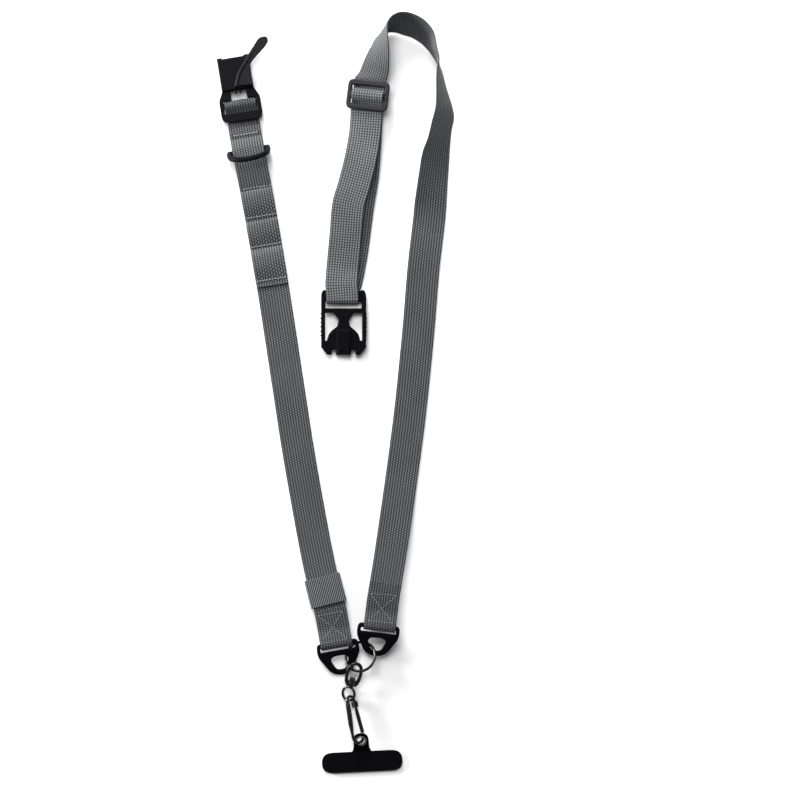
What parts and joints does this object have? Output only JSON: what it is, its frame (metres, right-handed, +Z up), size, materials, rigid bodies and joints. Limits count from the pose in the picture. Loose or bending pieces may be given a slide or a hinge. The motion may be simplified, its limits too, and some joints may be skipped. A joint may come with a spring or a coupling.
{
  "type": "phone crossbody strap",
  "caption": "Adjustable webbing strap with a side-release buckle, gear loops with a D-ring, and a swivel snap hook that holds a phone tether patch.",
  "frame": {"origin": "middle of the footprint, on the surface that the strap lies on", "axes": "+X to the right across the strap, +Y from the tether patch towards the arch, +Z up from the surface"},
  "size_m": [0.1852, 0.5924, 0.0258],
  "materials": {
    "webbing": "matte woven nylon",
    "moulded_plastic": "satin moulded",
    "tab_rubber": "matte",
    "black_metal": "glossy black coated",
    "patch_sheet": "matte coated sheet",
    "eyelet_metal": "polished, slightly warm"
  },
  "bodies": {
    "strap": {"left_strap": "webbing", "gear_loop_band": "webbing", "keeper_loop": "webbing", "right_strap": "webbing", "adjuster_strap": "webbing", "socket_buckle": "moulded_plastic", "pull_tab": "tab_rubber", "plug_buckle": "moulded_plastic", "strap_slider": "moulded_plastic", "triangle_ring_left": "moulded_plastic", "triangle_ring_right": "moulded_plastic", "main_ring": "black_metal", "swivel_shackle": "black_metal"},
    "d_ring": {"d_ring": "moulded_plastic"},
    "swivel": {"swivel_eye": "black_metal", "hook_body": "black_metal", "phone_patch": "patch_sheet", "patch_eyelet": "eyelet_metal"},
    "gate": {"hook_gate": "black_metal"}
  },
  "joints": [
    {"name": "d_ring_hinge", "type": "hinge", "parent": "strap", "child": "d_ring", "pos_m": [-0.06794, 0.18969, 0.00377], "axis": [0.9828, 0.1845, 0], "range_deg": [-98, 30]},
    {"name": "swivel_turn", "type": "hinge", "parent": "strap", "child": "swivel", "pos_m": [0.01227, -0.2256, 0.00657], "axis": [0.2514, 0.9317, 0.2622], "continuous": true},
    {"name": "gate_hinge", "type": "hinge", "parent": "swivel", "child": "gate", "pos_m": [0.01504, -0.24313, 0.00322], "axis": [0.6052, 0.1534, 0.7812], "range_deg": [-10, 0], "stiffness_Nm_per_rad": 0.05, "springref_deg": 17.19}
  ]
}
